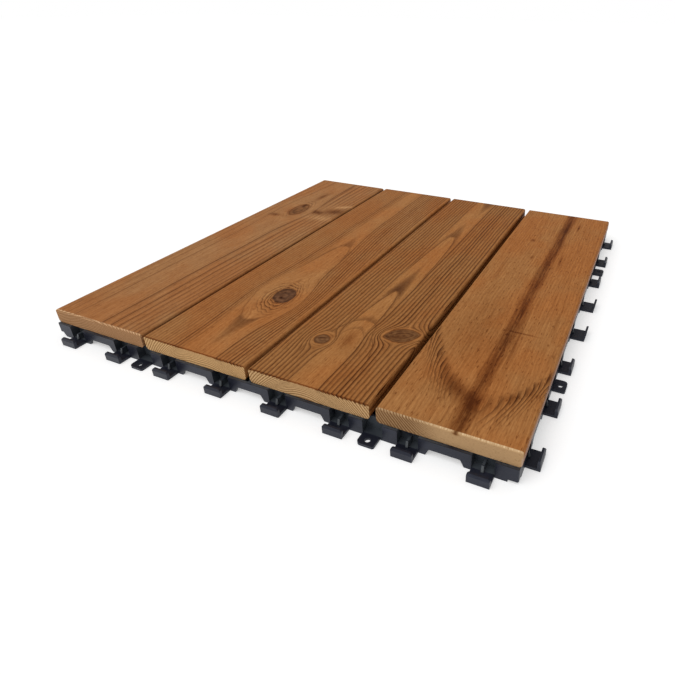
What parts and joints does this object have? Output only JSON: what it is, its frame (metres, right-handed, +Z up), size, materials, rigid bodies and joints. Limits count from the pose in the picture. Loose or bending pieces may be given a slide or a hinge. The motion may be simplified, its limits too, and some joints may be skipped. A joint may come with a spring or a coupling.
{
  "type": "interlocking deck tile",
  "caption": "Square click-together deck tile: softwood boards side by side on a black moulded plastic grid base with edge clips, drilled tabs and gaps between the boards.",
  "frame": {"origin": "middle of the moulded base, on the ground plane the feet stand on", "axes": "+Z up through the boards, Y along the boards, X across them; the clip sides face -Y and +X, the receiving sides face +Y and -X"},
  "size_m": [0.3054, 0.3028, 0.018],
  "materials": {
    "brown_board": "oiled, fine straight grain",
    "orange_board": "oiled, smooth, more orange",
    "base_plastic": "satin blue-black polypropylene",
    "screw_steel": "zinc plated"
  },
  "bodies": {
    "root": {"first_board": "brown_board", "second_board": "brown_board", "third_board": "brown_board", "fourth_board": "orange_board", "base": "base_plastic", "board_screws": "screw_steel"}
  },
  "joints": []
}
